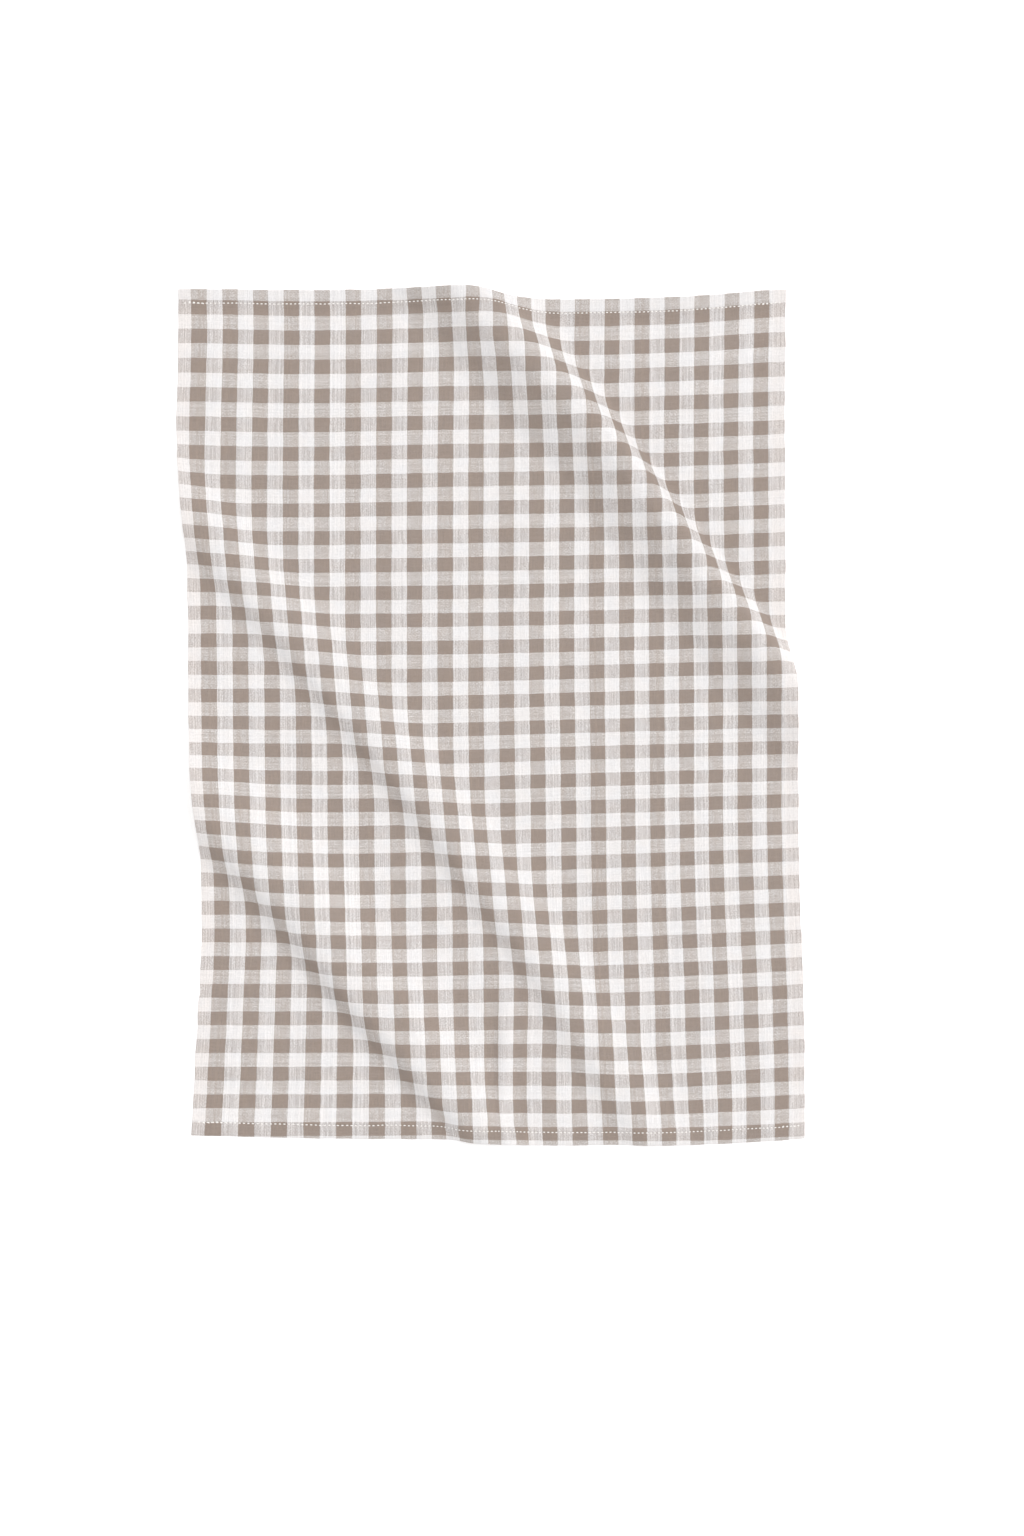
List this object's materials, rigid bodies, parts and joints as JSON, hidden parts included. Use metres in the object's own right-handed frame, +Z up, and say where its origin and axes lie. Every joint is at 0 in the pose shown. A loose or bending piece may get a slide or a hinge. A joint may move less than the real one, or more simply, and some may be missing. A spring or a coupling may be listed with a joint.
{
  "type": "tea towel",
  "caption": "Rectangular woven cotton tea towel with a small even check and stitched end hems, laid out flat with soft diagonal folds.",
  "frame": {"origin": "middle of the laid-out towel's outline, on the surface that it lies on", "axes": "+X across the towel to the right, +Y along its length to the top hem, +Z up from the surface"},
  "size_m": [0.506, 0.6902, 0.0215],
  "materials": {
    "cloth": "matt plain-woven cotton in a small taupe and white check"
  },
  "bodies": {
    "root": {"towel_cloth": "cloth"}
  },
  "joints": []
}
